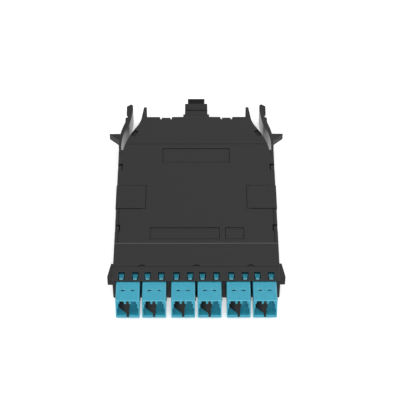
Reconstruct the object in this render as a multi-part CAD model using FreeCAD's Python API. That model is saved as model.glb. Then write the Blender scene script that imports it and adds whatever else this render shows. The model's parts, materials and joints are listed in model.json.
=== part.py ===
import FreeCAD
import Part
import math
import os

# Fibre cassette: a flat moulded housing with six duplex adapters along its front, one multi-fibre
# adapter at its back and a fan-out harness between them. Two sprung arms at the rear corners
# carry the catches that hold the cassette in its tray.
# +Z is up, the duplex adapters face -Y, and the origin lies under the middle of the whole cassette.
# A name ending in _depth is a distance back from the front edge of the housing.

# Housing
housing_width = 90.0
housing_depth = 126.7
rim_height = 13.05
floor_thickness = 1.5
side_wall = 1.8
bottom_edge_round = 0.9
front_frame_depth = 10.2

# Cover
cover_thickness = 1.5
front_zone_drop = 0.35
front_zone_depth = 26.4
front_step_run = 0.5
cover_edge_bevel = 0.3
cover_seam = 0.12
thumb_notch_spacing = 29.5
thumb_notch_radius = 2.3
thumb_notch_bite = 1.3
thumb_notch_drop = 0.6
recess_drop = 0.25
long_recess_width = 38.7
long_recess_centre = -6.35
short_recess_width = 10.6
short_recess_centre = 21.1
recess_length = 8.6
recess_groove_width = 0.4
recess_groove_drop = 0.25
recess_front_depth = 29.7
label_recess_width = 39.0
label_recess_length = 11.5
label_recess_depth = 88.7
crease_depth = 103.5
crease_width = 0.45
crease_drop = 0.3
pad_front_depth = 52.6
pad_length = 17.4
pad_reach = 14.4
pad_rise = 0.2
pad_bulge = 0.25
pad_groove_gap = 2.0
pad_groove_width = 0.4
side_groove_inset = 1.7
locating_rib_width = 1.0
locating_rib_height = 1.6
locating_rib_length = 28.0
locating_rib_depth = 47.5

# Rear corners, as insets from the housing's side and distances in front of its rear edge
corner_start_run = 40.7
corner_knee_inset = 1.9
corner_knee_run = 32.4
corner_bow_inset = 4.4
corner_bow_run = 19.7
corner_turn_inset = 9.0
corner_turn_run = 9.7
corner_hollow_inset = 11.7
corner_hollow_run = 4.3
corner_inset = 12.7

# Snap hooks of the tray, seen in slots of the cover
front_hook_depth = 38.0
rear_hook_run = 41.7
hook_length = 3.8
hook_thickness = 2.1
hook_side_inset = 0.1
hook_slot_gap = 0.6
hook_top_drop = 0.5
corner_hook_thickness = 1.0
corner_hook_inset = 8.9
corner_hook_run = 14.0
corner_hook_turn = 27.0
corner_hook_reach = 1.2

# Rear edge
prong_reach = 8.2
prong_base_width = 3.1
prong_tip_width = 1.7
prong_tip_inset = 1.1
prong_bottom = 3.6
rear_notch_inner = 15.3
rear_notch_outer = 20.5
rear_notch_width = 1.1
rear_notch_floor = 0.6
rear_notch_drop = 1.0
rear_notch_bite = 2.1
rear_tab_drop = 0.9

# Guide wedges on the housing's sides
wedge_front_depth = 4.5
wedge_length = 9.5
wedge_reach = 3.1
wedge_tail = 1.3
wedge_bottom = 5.4
wedge_height = 6.8

# Release arms, as insets from the housing's side and distances in front of its rear edge
arm_bottom = 1.5
arm_height = 12.3
arm_root_thickness = 1.4
arm_hinge_run = 27.2
arm_mid_run = 14.2
arm_mid_inset = 0.35
arm_mid_thickness = 1.95
arm_neck_run = 5.2
arm_neck_inset = 2.55
arm_neck_thickness = 2.95
arm_heel_start = 3.4
arm_heel_inset = 2.95
arm_heel_end = 0.2
arm_waist_inset = 6.5
arm_grip_inset = 3.5
arm_grip_thickness = 3.7
arm_grip_start = 5.6
arm_tip_reach = 11.6
arm_tip_slope = 1.8
arm_tip_corner = 1.1
grip_notch_length = 3.6
grip_notch_bite = 1.1
grip_rib_height = 2.6
arm_blade_step = 0.7
hinge_clearance = 0.05
arm_slot_width = 1.5
arm_stub_length = 16.0
catch_reach = 6.6
catch_length = 6.1
catch_run = 12.0
catch_bottom = 7.5
catch_height = 4.6

# Duplex adapters
side_frame = 2.0
pair_web = 1.25
pair_gap = 2.7
adapter_bottom = 2.1
adapter_height = 11.3
adapter_top_reach = 13.0
adapter_lip_reach = 15.5
adapter_tail_depth = 10.0
adapter_corner = 0.4
pair_count = 3
seat_gap = 0.1
pair_web_recess = 3.0
rake_top = 10.7
port_floor = 3.9
port_height = 4.3
port_side_wall = 0.6
upper_side_wall = 1.2
upper_height = 2.5
keyway_side_step = 0.7
keyway_width = 2.65
keyway_height = 2.2
divider_slot_width = 1.5
partition_depth = -1.0
partition_thickness = 2.0
port_inset = 0.15
channel_height = 2.45
nub_reach = 0.5
nub_size = 1.1
nub_depth = -9.2
nub_bottom = 8.6
panel_side_rim = 0.9
panel_front_rim = 1.2
panel_rear_rim = 0.9
panel_drop = 0.15
mark_width = 2.8
mark_length = 1.0
mark_tip_width = 1.6
mark_drop = 0.7
mark_spacing = 4.4
mark_reach = 6.1
window_spacing = 7.4
window_width = 3.65
window_length = 5.3
window_front_depth = 1.1
window_sink = 0.5
latch_root_width = 2.7
latch_tip_width = 1.8
latch_thickness = 0.6
latch_drop = 0.3
latch_sag = 0.6
latch_rise = 0.5
latch_head = 0.7
latch_root = 1.6

# Sleeves and ferrules
ferrule_radius = 0.625
sleeve_bore_clearance = 0.02
sleeve_wall = 0.17
sleeve_length = 6.8
sleeve_slot = 0.3
sleeve_pocket_clearance = 0.05
sleeve_tube_wall = 0.35
sleeve_tube_lip = 0.2

# Port dividers and shutters
divider_width = 1.4
divider_foot_width = 1.1
divider_bulge_width = 2.4
divider_bulge_bottom = 8.7
divider_bulge_top = 10.2
divider_post_length = 1.0
divider_foot_step = 0.4
divider_web = 0.36
divider_sink = 1.2
divider_clearance = 0.05
shutter_thickness = 0.35
shutter_length = 5.1
shutter_height = 4.4
shutter_lift = 0.3
shutter_crown_height = 2.35
shutter_side_gap = 0.12
shutter_pin_radius = 0.22
shutter_pin_sink = 0.5
shutter_post_gap = 0.08
shutter_rest_angle = 55.0

# Plugs inside the housing
plug_side_room = 1.95
plug_gap = 0.3
plug_length = 12.0
plug_bevel = 0.5
boot_length = 14.0
boot_base_radius = 1.7
boot_tip_radius = 1.0

# Multi-fibre adapter at the rear
rear_adapter_width = 13.4
rear_adapter_bottom = 3.1
rear_adapter_height = 9.1
rear_adapter_reach = 7.6
rear_adapter_inside = 10.0
rear_adapter_wall = 0.6
rear_flange_width = 15.4
rear_flange_height = 10.4
rear_flange_thickness = 3.7
cap_plug_length = 5.0
cap_head_length = 6.1
cap_grip_reach = 5.6
cap_grip_width = 10.1
cap_grip_height = 6.6
cap_grip_taper = 1.1
cap_end_plate = 0.7
cap_gap = 0.1
rear_plug_length = 18.0
rear_plug_sink = 6.0
rear_plug_gap = 0.15
rear_boot_length = 7.0
rear_ferrule_width = 6.4
rear_ferrule_height = 2.5
rear_ferrule_length = 4.0
guide_pin_radius = 0.35
guide_pin_spacing = 4.6
guide_pin_length = 2.0

# Harness
trunk_length = 9.7
fan_out_length = 16.0
fan_out_height = 8.2
leg_radius = 0.45
leg_pitch = 1.1
leg_bend_share = 0.355
trunk_radius = 1.5

# Small round pieces are drawn with this many flats
small_round_sides = 8
guide_post_sides = 16
leg_sides = 4

# Posts that keep the cover up
post_width = 4.0
post_rib = 1.2
post_places = [(38.0, 45.0), (26.0, 96.0)]
guide_post_radius = 6.0
guide_post_wall = 1.2
guide_post_place = (24.0, 84.0)
guide_post_height = 6.0

# How far a cutting shape stands out past the surface that it opens
over_cut = 1.0

# Places worked out from the sizes above
half_width = housing_width / 2
rear_reach = rear_adapter_reach + cap_head_length + cap_grip_reach
whole_length = adapter_lip_reach + housing_depth + rear_reach
front_y = adapter_lip_reach - whole_length / 2
rear_y = front_y + housing_depth
cover_top = rim_height + cover_thickness
front_top = cover_top - front_zone_drop
adapter_top = adapter_bottom + adapter_height
port_top = port_floor + port_height
port_centre_z = port_floor + channel_height
upper_top = port_top + upper_height
keyway_top = upper_top + keyway_height
sleeve_middle_y = front_y + partition_depth + partition_thickness / 2
sleeve_bore_radius = ferrule_radius + sleeve_bore_clearance
sleeve_radius = sleeve_bore_radius + sleeve_wall
sleeve_tube_radius = sleeve_radius + sleeve_pocket_clearance + sleeve_tube_wall
hook_places = [front_y + front_hook_depth, rear_y - rear_hook_run]
hinge_y = rear_y - arm_hinge_run
hinge_x = half_width - arm_root_thickness / 2
rear_adapter_centre_z = rear_adapter_bottom + rear_adapter_height / 2
rake_run = adapter_lip_reach - adapter_top_reach
rake_rise = rake_top - port_floor
rake_slope = rake_run / rake_rise
rake_tilt = math.atan(rake_slope)
front_room = housing_width - 2 * side_frame - pair_count * pair_web - (pair_count - 1) * pair_gap
adapter_width = front_room / (2 * pair_count)
pair_pitch = adapter_width + pair_web
port_spacing = adapter_width / 2 - port_inset
port_half_width = adapter_width / 2 - port_side_wall
upper_half_width = adapter_width / 2 - upper_side_wall
plug_section = port_spacing - plug_side_room
adapter_places = []
for pair in range(pair_count):
    pair_x = (pair - (pair_count - 1) / 2) * (2 * adapter_width + pair_web + pair_gap)
    adapter_places.append(pair_x - pair_pitch / 2)
    adapter_places.append(pair_x + pair_pitch / 2)
port_places = []
for adapter_x in adapter_places:
    port_places.append(adapter_x - port_spacing / 2)
    port_places.append(adapter_x + port_spacing / 2)


def point(x, y, z=0.0):
    return FreeCAD.Vector(x, y, z)


def block(x_low, x_high, y_low, y_high, z_low, z_high):
    corner = point(x_low, y_low, z_low)
    return Part.makeBox(x_high - x_low, y_high - y_low, z_high - z_low, corner)


def centred_block(x_middle, width, y_low, y_high, z_low, z_high):
    return block(x_middle - width / 2, x_middle + width / 2, y_low, y_high, z_low, z_high)


def upright_prism(corners, z_low, z_high):
    # A plan outline of straight edges, raised from z_low to z_high.
    loop = [point(x, y, z_low) for x, y in corners]
    face = Part.Face(Part.makePolygon(loop + loop[:1]))
    return face.extrude(point(0, 0, z_high - z_low))


def side_prism(corners, x_low, x_high):
    # A side-view outline in Y and Z, carried across from x_low to x_high.
    loop = [point(x_low, y, z) for y, z in corners]
    face = Part.Face(Part.makePolygon(loop + loop[:1]))
    return face.extrude(point(x_high - x_low, 0, 0))


def front_prism(corners, y_low, y_high):
    # A front-view outline in X and Z, carried back from y_low to y_high.
    loop = [point(x, y_low, z) for x, z in corners]
    face = Part.Face(Part.makePolygon(loop + loop[:1]))
    return face.extrude(point(0, y_high - y_low, 0))


def ring_corners(radius, middle, sides, outside=False):
    # Corners of a regular outline round a middle; with outside, its flats lie on the radius.
    reach = radius / math.cos(math.pi / sides) if outside else radius
    step = 2 * math.pi / sides
    corners = []
    for turn in range(sides):
        angle = step * (turn + 0.5)
        corners.append((middle[0] + reach * math.cos(angle), middle[1] + reach * math.sin(angle)))
    return corners


def small_rod(radius, x, z, y_low, y_high, outside=False):
    return front_prism(ring_corners(radius, (x, z), small_round_sides, outside), y_low, y_high)


def small_post(radius, x, y, z_low, z_high, outside=False):
    return upright_prism(ring_corners(radius, (x, y), small_round_sides, outside), z_low, z_high)


def tapered(front_corners, back_corners, y_low, y_high):
    # A flat-sided piece between two front-view outlines that have their sides parallel.
    front = [point(x, y_low, z) for x, z in front_corners]
    back = [point(x, y_high, z) for x, z in back_corners]
    loops = [front, back]
    for index in range(len(front)):
        after = (index + 1) % len(front)
        loops.append([front[index], front[after], back[after], back[index]])
    faces = [Part.Face(Part.makePolygon(loop + loop[:1])) for loop in loops]
    return Part.Solid(Part.Shell(faces))


def post(radius, x, y, z_low, z_high):
    return Part.makeCylinder(radius, z_high - z_low, point(x, y, z_low))


def mirrored(shape):
    return shape.mirror(point(0, 0, 0), point(1, 0, 0))


def both_sides(shape):
    return [shape, mirrored(shape)]


def turned(shape, x, y, degrees):
    copy = shape.copy()
    copy.rotate(point(x, y, 0), point(0, 0, 1), degrees)
    return copy


def corner_edges(side, start_y):
    # One side of the housing's plan, from start_y to the rear edge: straight, then drawn in
    # by a slanted run, a bowed arc and a hollow arc.
    def place(inset, run):
        return point(side * (half_width - inset), rear_y - run)

    knee = place(corner_knee_inset, corner_knee_run)
    turn = place(corner_turn_inset, corner_turn_run)
    straight_end = place(0, corner_start_run)
    bow = place(corner_bow_inset, corner_bow_run)
    hollow = place(corner_hollow_inset, corner_hollow_run)
    corner = place(corner_inset, 0)
    return [
        Part.makeLine(point(side * half_width, start_y), straight_end),
        Part.makeLine(straight_end, knee),
        Part.Arc(knee, bow, turn).toShape(),
        Part.Arc(turn, hollow, corner).toShape(),
    ]


def plan_face(start_y):
    right = corner_edges(1, start_y)
    left = corner_edges(-1, start_y)
    rear_half = half_width - corner_inset
    rear = Part.makeLine(point(rear_half, rear_y), point(-rear_half, rear_y))
    front = Part.makeLine(point(-half_width, start_y), point(half_width, start_y))
    edges = Part.sortEdges(right + left + [rear, front])[0]
    return Part.Face(Part.Wire(edges))


def raised(face, z_low, z_high):
    moved = face.translated(point(0, 0, z_low))
    return moved.extrude(point(0, 0, z_high - z_low))


def prong(z_low, z_high):
    # Right-hand fixed finger that the release arm is squeezed towards.
    outer = half_width - corner_inset
    inner = outer - prong_base_width
    tip = outer - prong_tip_inset
    root_y = rear_y - side_wall
    outline = [
        (outer, root_y),
        (outer, rear_y),
        (tip, rear_y + prong_reach),
        (tip - prong_tip_width, rear_y + prong_reach),
        (inner, rear_y),
        (inner, root_y),
    ]
    return upright_prism(outline, z_low, z_high)


def snap_hook(z_high, grow=0.0):
    # Right-hand hooks of the tray; grown, they cut the slots of the cover.
    outer = half_width - hook_side_inset + grow
    inner = outer - hook_thickness - 2 * grow
    z_low = rim_height - locating_rib_height
    hooks = []
    for middle in hook_places:
        reach = hook_length / 2 + grow
        hooks.append(block(inner, outer, middle - reach, middle + reach, z_low, z_high))
    x = half_width - corner_hook_inset
    y = rear_y - corner_hook_run
    straight = centred_block(x, corner_hook_thickness + 2 * grow,
                             y - hook_length / 2 - grow, y + hook_length / 2 + grow, z_low, z_high)
    hooks.append(turned(straight, x, y, corner_hook_turn))
    return hooks


def hook_webs():
    # Short webs that carry the right-hand hooks from the wall.
    z_low = rim_height - locating_rib_height
    webs = []
    for middle in hook_places:
        webs.append(block(half_width - hook_side_inset - hook_thickness, half_width - side_wall / 2,
                          middle - hook_length / 2, middle + hook_length / 2, z_low, rim_height))
    x = half_width - corner_hook_inset
    y = rear_y - corner_hook_run
    straight = block(x - corner_hook_thickness / 2, x + corner_hook_thickness / 2 + corner_hook_reach,
                     y - hook_length / 2, y + hook_length / 2, z_low, rim_height)
    webs.append(turned(straight, x, y, corner_hook_turn))
    return webs


def guide_wedge():
    wedge_y = front_y + wedge_front_depth
    outline = [
        (half_width - side_wall / 2, wedge_y),
        (half_width + wedge_reach, wedge_y),
        (half_width + wedge_tail, wedge_y + wedge_length),
        (half_width - side_wall / 2, wedge_y + wedge_length),
    ]
    return upright_prism(outline, wedge_bottom, wedge_bottom + wedge_height)


def arm_socket():
    # Right-hand stub of the side wall, with the half-round seat of the arm's root.
    inner = half_width - arm_root_thickness - arm_slot_width
    stub = block(inner, half_width, hinge_y - arm_stub_length, hinge_y,
                 arm_bottom, arm_bottom + arm_height)
    seat = post(arm_root_thickness / 2 + hinge_clearance, hinge_x, hinge_y,
                arm_bottom - over_cut, arm_bottom + arm_height + over_cut)
    return stub.cut(seat)


def adapter_cells():
    cells = []
    for x in adapter_places:
        cells.append(centred_block(x, adapter_width + 2 * seat_gap,
                                   front_y - over_cut, front_y + front_frame_depth,
                                   adapter_bottom - seat_gap, adapter_top + seat_gap))
    return cells


def latch_windows():
    windows = []
    window_y = front_y + window_front_depth
    for x in adapter_places:
        for side in (-1, 1):
            windows.append(centred_block(x + side * window_spacing / 2, window_width, window_y,
                                         window_y + window_length, adapter_top,
                                         front_top + over_cut))
    return windows


def pair_webs():
    # The thin web between the two adapters of a pair stands back from the front.
    recesses = []
    for pair in range(pair_count):
        x = (adapter_places[2 * pair] + adapter_places[2 * pair + 1]) / 2
        recesses.append(centred_block(x, pair_pitch - adapter_width, front_y - over_cut,
                                      front_y + pair_web_recess,
                                      adapter_bottom - seat_gap, adapter_top + seat_gap))
    return recesses


def tray_posts():
    posts = []
    for x, post_depth in post_places:
        y = front_y + post_depth
        low = floor_thickness / 2
        along = centred_block(x, post_rib, y - post_width / 2, y + post_width / 2, low, rim_height)
        across = centred_block(x, post_width, y - post_rib / 2, y + post_rib / 2, low, rim_height)
        posts.append(along.fuse(across))
    x, guide_depth = guide_post_place
    middle = (x, front_y + guide_depth)
    high = floor_thickness + guide_post_height
    guide = upright_prism(ring_corners(guide_post_radius, middle, guide_post_sides),
                          floor_thickness / 2, high)
    bore = upright_prism(ring_corners(guide_post_radius - guide_post_wall, middle, guide_post_sides),
                         floor_thickness, high + over_cut)
    posts.append(guide.cut(bore))
    return posts


def base_tray():
    outside = raised(plan_face(front_y), 0, rim_height)
    long_edges = []
    for edge in outside.Edges:
        middle = edge.BoundBox.Center
        along_y = edge.BoundBox.XLength < 0.01 and edge.BoundBox.YLength > housing_depth / 2
        if along_y and middle.z < 0.01:
            long_edges.append(edge)
    outside = outside.makeFillet(bottom_edge_round, long_edges)
    front_block = block(-half_width, half_width, front_y, front_y + front_frame_depth,
                        rim_height - over_cut, front_top)
    cavity_plan = plan_face(front_y + front_frame_depth - side_wall).makeOffset2D(-side_wall, 2)
    tray = outside.fuse(front_block).cut(raised(cavity_plan, floor_thickness, rim_height + over_cut))
    right = [guide_wedge(), prong(prong_bottom, rim_height)]
    right += snap_hook(cover_top - hook_top_drop) + hook_webs() + tray_posts()
    cover_space = raised(plan_face(front_y).makeOffset2D(cover_seam), rim_height,
                         cover_top + over_cut)
    right.append(arm_socket().cut(cover_space))
    additions = []
    for shape in right:
        additions += both_sides(shape)
    tray = tray.fuse(additions)
    openings = adapter_cells() + latch_windows() + pair_webs() + rear_notches(rim_height - rear_notch_drop)
    openings.append(centred_block(0, rear_adapter_width + 2 * seat_gap, rear_y - side_wall - over_cut,
                                  rear_y + over_cut,
                                  rear_adapter_bottom - seat_gap,
                                  rear_adapter_bottom + rear_adapter_height + seat_gap))
    return tray.cut(openings).removeSplitter()


def top_pads():
    pads = []
    y_low = front_y + pad_front_depth
    y_high = y_low + pad_length
    outer = half_width + pad_bulge
    pad = block(half_width - pad_reach, outer, y_low, y_high, cover_top - cover_thickness / 2,
                cover_top + pad_rise)
    skirt = block(half_width - side_wall / 2, outer, y_low, y_high, rim_height, cover_top)
    return both_sides(pad.fuse(skirt))


def rear_notches(z_low):
    notches = []
    for straight_side, slope in ((rear_notch_inner, -1), (rear_notch_outer, 1)):
        outline = [
            (straight_side, rear_y + over_cut),
            (straight_side, rear_y - rear_notch_bite),
            (straight_side + slope * rear_notch_floor, rear_y - rear_notch_bite),
            (straight_side + slope * rear_notch_width, rear_y),
            (straight_side + slope * rear_notch_width, rear_y + over_cut),
        ]
        notches += both_sides(upright_prism(outline, z_low, cover_top + over_cut))
    return notches


def framed_recess(x_middle, width, y_low, y_high):
    # Sunk rectangle with a deeper groove along its four sides.
    over = cover_top + over_cut
    floor = cover_top - recess_drop
    whole = centred_block(x_middle, width, y_low, y_high, floor - recess_groove_drop, over)
    island = centred_block(x_middle, width - 2 * recess_groove_width, y_low + recess_groove_width,
                           y_high - recess_groove_width, floor - recess_groove_drop, floor)
    return [whole.cut(island)]


def cover_grooves():
    # Right-hand grooves: round the side pad, and along the cover's side in front of the pad.
    low = cover_top - crease_drop
    over = cover_top + over_cut
    width = pad_groove_width
    pad_front = front_y + pad_front_depth
    pad_rear = pad_front + pad_length
    groove_x = half_width - pad_reach - pad_groove_gap
    side_x = half_width - side_groove_inset
    return [
        block(groove_x - width, groove_x, pad_front - width, pad_rear + width, low, over),
        block(groove_x, half_width, pad_rear, pad_rear + width, low, over),
        block(groove_x, half_width, pad_front - width, pad_front, low, over),
        block(side_x - width, side_x, front_y + front_zone_depth + front_step_run,
              pad_front - width, low, over),
    ]


def cover_cuts():
    cuts = []
    over = cover_top + over_cut
    step_y = front_y + front_zone_depth
    step_view = [(front_y, front_top), (step_y, front_top), (step_y + front_step_run, cover_top),
                 (step_y + front_step_run, over), (front_y, over)]
    cuts.append(side_prism(step_view, -half_width - over_cut, half_width + over_cut))
    y_low = front_y + recess_front_depth
    y_high = y_low + recess_length
    cuts += framed_recess(long_recess_centre, long_recess_width, y_low, y_high)
    cuts += framed_recess(short_recess_centre, short_recess_width, y_low, y_high)
    label_y = front_y + label_recess_depth
    cuts += framed_recess(0, label_recess_width, label_y, label_y + label_recess_length)
    crease_y = front_y + crease_depth
    cuts.append(centred_block(0, housing_width, crease_y, crease_y + crease_width,
                              cover_top - crease_drop, over))
    for groove in cover_grooves():
        cuts += both_sides(groove)
    notch_y = front_y + front_frame_depth + cover_seam + thumb_notch_bite - thumb_notch_radius
    for column in (-1, 0, 1):
        cuts.append(post(thumb_notch_radius, column * thumb_notch_spacing, notch_y,
                         front_top - thumb_notch_drop, over))
    cuts += rear_notches(rim_height - over_cut)
    tab = block(rear_notch_inner, rear_notch_outer, rear_y - rear_notch_bite, rear_y + over_cut,
                cover_top - rear_tab_drop, over)
    cuts += both_sides(tab)
    for slot in snap_hook(over, hook_slot_gap):
        cuts += both_sides(slot)
    return cuts


def top_cover():
    plan = plan_face(front_y + front_frame_depth + cover_seam)
    shoulder = cover_top - cover_edge_bevel
    widest = plan.OuterWire.translated(point(0, 0, shoulder))
    narrowest = plan.makeOffset2D(-cover_edge_bevel, 2).OuterWire.translated(point(0, 0, cover_top))
    plate = raised(plan, rim_height, shoulder).fuse(Part.makeLoft([widest, narrowest], True, True))
    prong_tops = both_sides(prong(rim_height, cover_top))
    rib_x = half_width - side_wall - seat_gap - locating_rib_width
    rib_y = front_y + locating_rib_depth
    rib = block(rib_x, rib_x + locating_rib_width, rib_y, rib_y + locating_rib_length,
                rim_height - locating_rib_height, rim_height + cover_thickness / 2)
    cover = plate.fuse(prong_tops + top_pads() + both_sides(rib))
    return cover.cut(cover_cuts()).removeSplitter()


def arm_place(inset, run, z=0.0):
    return point(half_width - inset, rear_y - run, z)


def arm_blade(z_low, z_high, outer_side):
    # Right-hand arm seen from above: a thin root that bows inwards to a thicker grip.
    # The inner side is the same at every height; outer_side lists the corners of the grip's outer side.
    grip_inner = arm_grip_inset + arm_grip_thickness
    root_out = arm_place(0, arm_hinge_run, z_low)
    mid_out = arm_place(arm_mid_inset, arm_mid_run, z_low)
    neck_out = arm_place(arm_neck_inset, arm_neck_run, z_low)
    root_in = arm_place(arm_root_thickness, arm_hinge_run, z_low)
    mid_in = arm_place(arm_mid_inset + arm_mid_thickness, arm_mid_run, z_low)
    neck_in = arm_place(arm_neck_inset + arm_neck_thickness, arm_neck_run, z_low)
    hinge_front = point(hinge_x, hinge_y - arm_root_thickness / 2, z_low)
    corners = [neck_out]
    corners += [arm_place(inset, run, z_low) for inset, run in outer_side]
    corners += [
        arm_place(grip_inner - arm_tip_corner, -arm_tip_reach, z_low),
        arm_place(grip_inner, arm_tip_corner - arm_tip_reach, z_low),
        arm_place(grip_inner, -arm_grip_start, z_low),
        arm_place(arm_waist_inset, 0, z_low),
        neck_in,
    ]
    edges = [
        Part.Arc(root_in, hinge_front, root_out).toShape(),
        Part.Arc(root_out, mid_out, neck_out).toShape(),
    ]
    for start, end in zip(corners, corners[1:]):
        edges.append(Part.makeLine(start, end))
    edges.append(Part.Arc(neck_in, mid_in, root_in).toShape())
    return Part.Face(Part.Wire(edges)).extrude(point(0, 0, z_high - z_low))


def release_arm():
    # The grip's upper rib is notched for the thumb; the blade below it stands further in.
    slope_start = arm_tip_slope - arm_tip_reach
    notch_rear = -arm_heel_end - grip_notch_length
    rib_side = [
        (arm_heel_inset, arm_heel_start),
        (arm_heel_inset, arm_heel_end),
        (arm_heel_inset + grip_notch_bite, arm_heel_end - grip_notch_bite / 2),
        (arm_grip_inset + grip_notch_bite, notch_rear),
        (arm_grip_inset, notch_rear),
        (arm_grip_inset, slope_start),
    ]
    blade_side = [
        (arm_grip_inset + arm_blade_step, 0),
        (arm_grip_inset + arm_blade_step, slope_start),
    ]
    top = arm_bottom + arm_height
    rib = arm_blade(top - grip_rib_height, top, rib_side)
    blade = arm_blade(arm_bottom, top - grip_rib_height, blade_side)
    catch_y = rear_y - catch_run
    root_x = half_width - arm_mid_inset - arm_mid_thickness / 2
    outline = [
        (root_x, catch_y - catch_length),
        (root_x + arm_mid_thickness / 2, catch_y - catch_length),
        (root_x + catch_reach + arm_mid_thickness / 2, catch_y),
        (root_x, catch_y),
    ]
    catch = upright_prism(outline, catch_bottom, catch_bottom + catch_height)
    return blade.fuse([rib, catch]).removeSplitter()


def port_outline(x):
    # Front view of a duplex opening: wide below, narrower above, with two keyways and a centre slot.
    keyway_outer = upper_half_width - keyway_side_step
    steps = [
        (port_half_width, port_floor),
        (port_half_width, port_top),
        (upper_half_width, port_top),
        (upper_half_width, upper_top),
        (keyway_outer, upper_top),
        (keyway_outer, keyway_top),
        (keyway_outer - keyway_width, keyway_top),
        (keyway_outer - keyway_width, upper_top),
        (divider_slot_width / 2, upper_top),
        (divider_slot_width / 2, keyway_top),
    ]
    right = [(x + across, z) for across, z in steps]
    left = [(x - across, z) for across, z in reversed(steps)]
    return right + left


def adapter_shell(x):
    front = front_y - adapter_lip_reach
    tail = front_y + adapter_tail_depth
    side_view = [(front, adapter_bottom), (tail, adapter_bottom), (tail, adapter_top),
                 (front + rake_run, adapter_top), (front + rake_run, rake_top), (front, port_floor)]
    half = adapter_width / 2
    shell = side_prism(side_view, x - half, x + half)
    long_edges = []
    for edge in shell.Edges:
        box = edge.BoundBox
        if box.ZLength < 0.01 and box.XLength < 0.01 and box.YLength > adapter_tail_depth:
            long_edges.append(edge)
    shell = shell.makeChamfer(adapter_corner, long_edges)
    partition_y = front_y + partition_depth
    outline = port_outline(x)
    shell = shell.cut([front_prism(outline, front - over_cut, partition_y),
                       front_prism(outline, partition_y + partition_thickness, tail + over_cut)])
    nub_y = front_y + nub_depth
    nub = block(x + half - nub_reach, x + half + nub_reach, nub_y, nub_y + nub_size,
                nub_bottom, nub_bottom + nub_size)
    shell = shell.fuse(sleeve_tubes(x) + [nub])
    cuts = [sleeve_pocket(x + side * port_spacing / 2) for side in (-1, 1)]
    panel_y = front_y - adapter_top_reach + panel_front_rim
    cuts.append(centred_block(x, adapter_width - 2 * panel_side_rim, panel_y, front_y - panel_rear_rim,
                              adapter_top - panel_drop, adapter_top + over_cut))
    for side in (-1, 1):
        cuts.append(top_mark(x + side * mark_spacing / 2))
        cuts.append(latch_slot(x + side * window_spacing / 2))
        cuts.append(shutter_hole(x, side))
    cuts.append(centred_block(x, divider_slot_width, front - over_cut,
                              front + divider_post_length - divider_foot_step,
                              port_floor - divider_sink, port_floor + over_cut))
    shell = shell.cut(cuts)
    latches = [top_latch(x + side * window_spacing / 2) for side in (-1, 1)]
    return shell.fuse(latches).removeSplitter()


def sleeve_tubes(x):
    reach = sleeve_length / 2 + sleeve_tube_lip
    return [small_rod(sleeve_tube_radius, x + side * port_spacing / 2, port_centre_z,
                      sleeve_middle_y - reach, sleeve_middle_y + reach) for side in (-1, 1)]


def sleeve_pocket(x):
    reach = sleeve_length / 2 + sleeve_pocket_clearance
    pocket = small_rod(sleeve_radius + sleeve_pocket_clearance, x, port_centre_z,
                       sleeve_middle_y - reach, sleeve_middle_y + reach, True)
    through = small_rod(sleeve_bore_radius, x, port_centre_z,
                        sleeve_middle_y - sleeve_length, sleeve_middle_y + sleeve_length, True)
    return pocket.fuse(through)


def top_mark(x):
    # Small sunk slot in the top of the shell, with an arched rear side.
    y = front_y - mark_reach
    half = mark_width / 2
    tip = mark_tip_width / 2
    outline = [(x - half, y), (x + half, y), (x + half, y + mark_length / 2), (x + tip, y + mark_length),
               (x - tip, y + mark_length), (x - half, y + mark_length / 2)]
    return upright_prism(outline, adapter_top - panel_drop - mark_drop, adapter_top + over_cut)


def latch_slot(x):
    slot_y = front_y + window_front_depth
    return centred_block(x, window_width, slot_y, slot_y + window_length, keyway_top - window_sink,
                         adapter_top + over_cut)


def top_latch(x):
    # Tongue that narrows towards the front, where its raised head catches behind the window's edge.
    root_y = front_y + window_front_depth + window_length
    tip_y = front_y + window_front_depth + seat_gap
    back_y = root_y + latch_root / 2
    flat = adapter_top - latch_drop
    sunk = flat - latch_sag
    low = sunk - latch_thickness
    high = adapter_top + latch_rise
    side_view = [(back_y, low), (back_y, adapter_top), (root_y, adapter_top), (root_y, sunk),
                 (tip_y + 2 * latch_head, flat), (tip_y + latch_head, high), (tip_y, high),
                 (tip_y, flat - latch_thickness), (root_y, low)]
    tongue = side_prism(side_view, x - latch_root_width / 2, x + latch_root_width / 2)
    plan = [(x - latch_root_width / 2, back_y), (x - latch_root_width / 2, root_y),
            (x - latch_tip_width / 2, tip_y), (x + latch_tip_width / 2, tip_y),
            (x + latch_root_width / 2, root_y), (x + latch_root_width / 2, back_y)]
    return tongue.common(upright_prism(plan, low, high))


def shutter_axis(x, side):
    # Where a leaf's hinge axis meets the floor of the port.
    across = divider_width / 2 - shutter_thickness / 2 - divider_clearance
    back = divider_post_length + (shutter_post_gap + shutter_pin_radius) / math.cos(rake_tilt)
    return x + side * across, front_y - adapter_lip_reach + back


def raked(shape, x, y):
    # Lean an upright shape back round its foot on the port's floor, so that it follows the raked front.
    copy = shape.copy()
    copy.rotate(point(x, y, port_floor), point(1, 0, 0), -math.degrees(rake_tilt))
    return copy


def shutter_hole(x, side):
    pin_x, pin_y = shutter_axis(x, side)
    upright = small_post(shutter_pin_radius + hinge_clearance, pin_x, pin_y,
                         port_floor - shutter_pin_sink, port_floor + over_cut, True)
    return raked(upright, pin_x, pin_y)


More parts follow.
